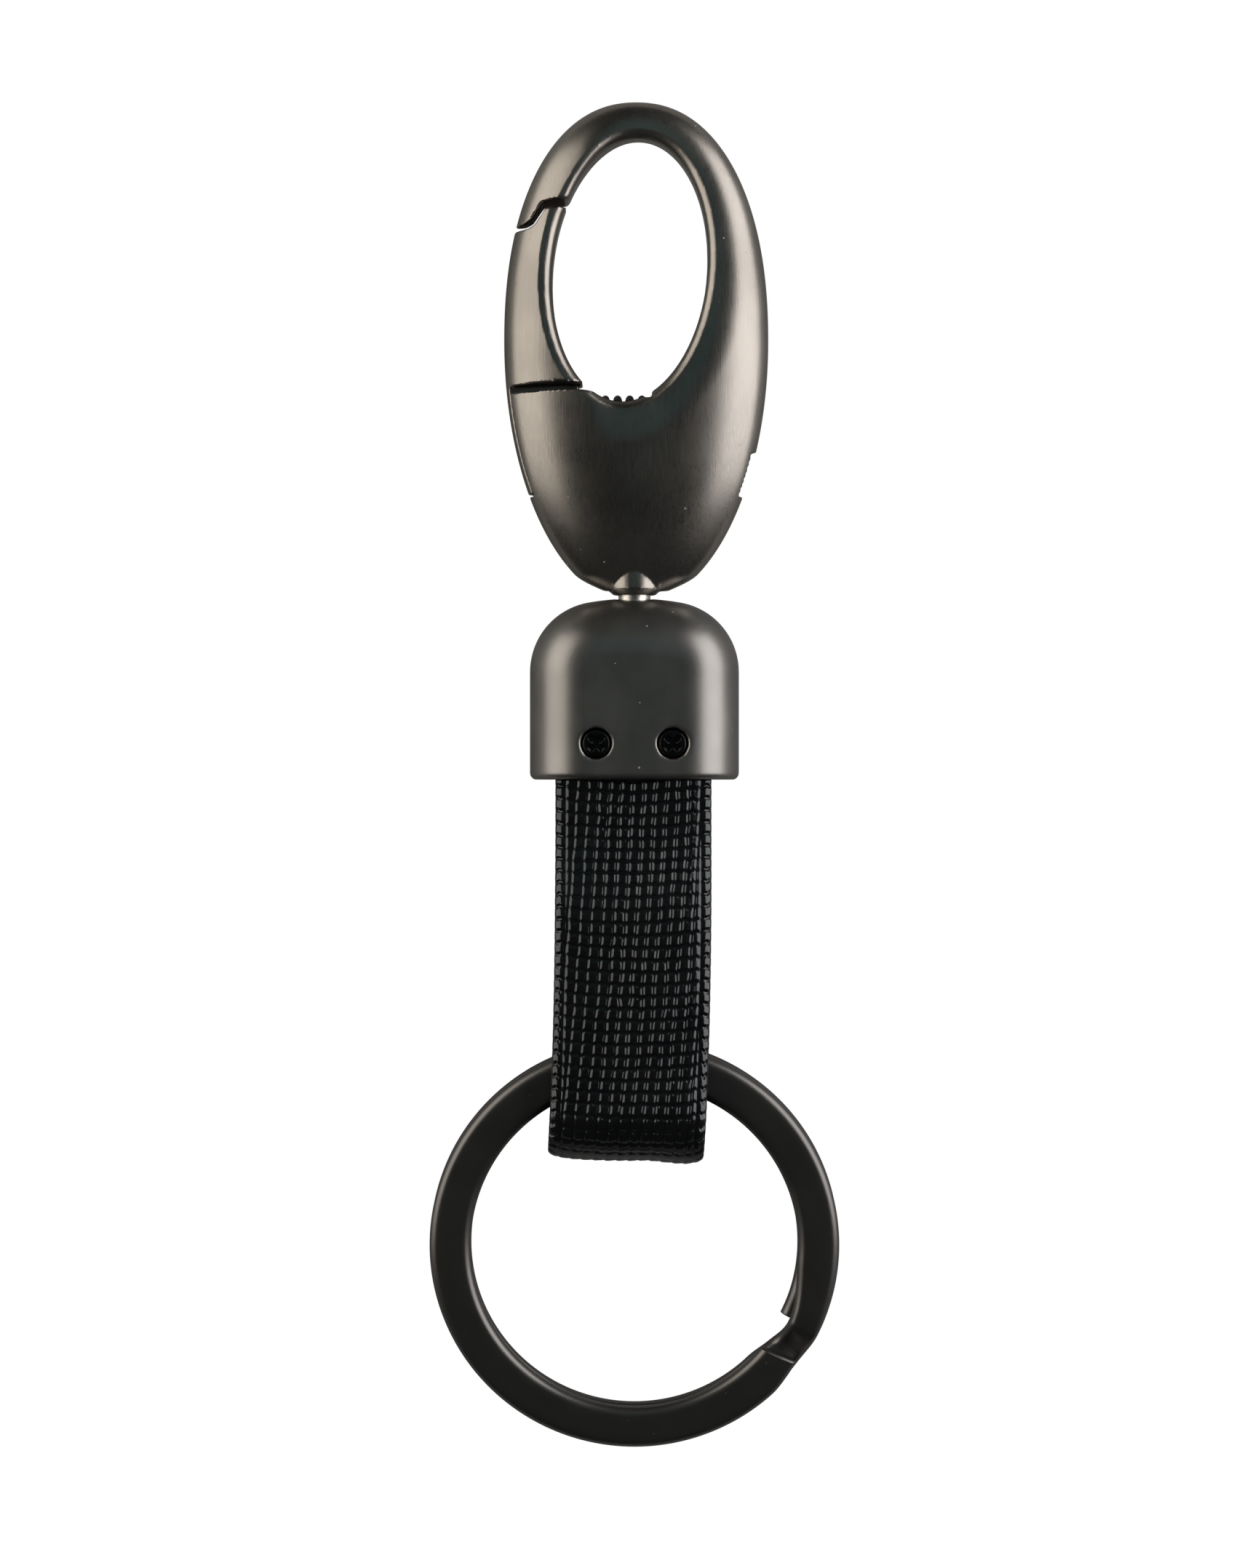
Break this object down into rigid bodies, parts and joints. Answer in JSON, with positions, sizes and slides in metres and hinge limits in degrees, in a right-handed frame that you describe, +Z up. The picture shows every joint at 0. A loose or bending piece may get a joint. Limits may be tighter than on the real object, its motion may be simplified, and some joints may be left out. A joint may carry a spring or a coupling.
{
  "type": "carabiner keyring",
  "caption": "Snap hook with a sprung gate on a swivel, joined by a screwed cap and a folded leather strap to a flat split ring for keys.",
  "frame": {"origin": "below the middle of the cap's mouth, on the surface that the keyring lies on", "axes": "+Y along the keyring from the ring towards the hook's tip, +Z up out of the front face, +X to the right of somebody who looks at the front"},
  "size_m": [0.032, 0.1051, 0.009],
  "materials": {
    "gunmetal": "satin gunmetal plating with fine lengthwise brushing",
    "cap_metal": "satin gunmetal plating",
    "dark_pin": "ground dark steel",
    "spring_steel": "blackened spring wire",
    "bright_steel": "bright nickel",
    "black_screw": "black oxide",
    "core_plastic": "moulded",
    "leather": "black cross-grain pressed leather",
    "ring_steel": "black-nickel plated, polished"
  },
  "bodies": {
    "cap_body": {"cap": "cap_metal", "screw_left": "black_screw", "screw_right": "black_screw", "strap_core": "core_plastic", "strap_end_front": "leather", "strap_end_back": "leather", "swivel_washer": "bright_steel"},
    "hook": {"hook_body": "gunmetal", "gate_pin": "dark_pin", "gate_spring": "spring_steel", "swivel_rivet": "bright_steel"},
    "gate_body": {"gate": "gunmetal"},
    "strap": {"strap_loop": "leather"},
    "ring": {"split_ring": "ring_steel"}
  },
  "joints": [
    {"name": "hook_swivel", "type": "hinge", "parent": "cap_body", "child": "hook", "pos_m": [0, 0.01413, 0.0045], "axis": [0, 1, 0], "continuous": true},
    {"name": "gate_hinge", "type": "hinge", "parent": "hook", "child": "gate_body", "pos_m": [-0.00676, 0.02382, 0.0045], "axis": [0, 0, -1], "range_deg": [0, 15], "stiffness_Nm_per_rad": 0.02, "springref_deg": -28.65, "deforming": ["gate_spring"]},
    {"name": "strap_flex", "type": "hinge", "parent": "cap_body", "child": "strap", "pos_m": [0, -0.0029, 0.0045], "axis": [1, 0, 0], "range_deg": [-30, 30], "stiffness_Nm_per_rad": 0.05},
    {"name": "ring_swing", "type": "hinge", "parent": "strap", "child": "ring", "pos_m": [0, -0.02278, 0.0045], "axis": [1, 0, 0], "range_deg": [-110, 110]}
  ]
}
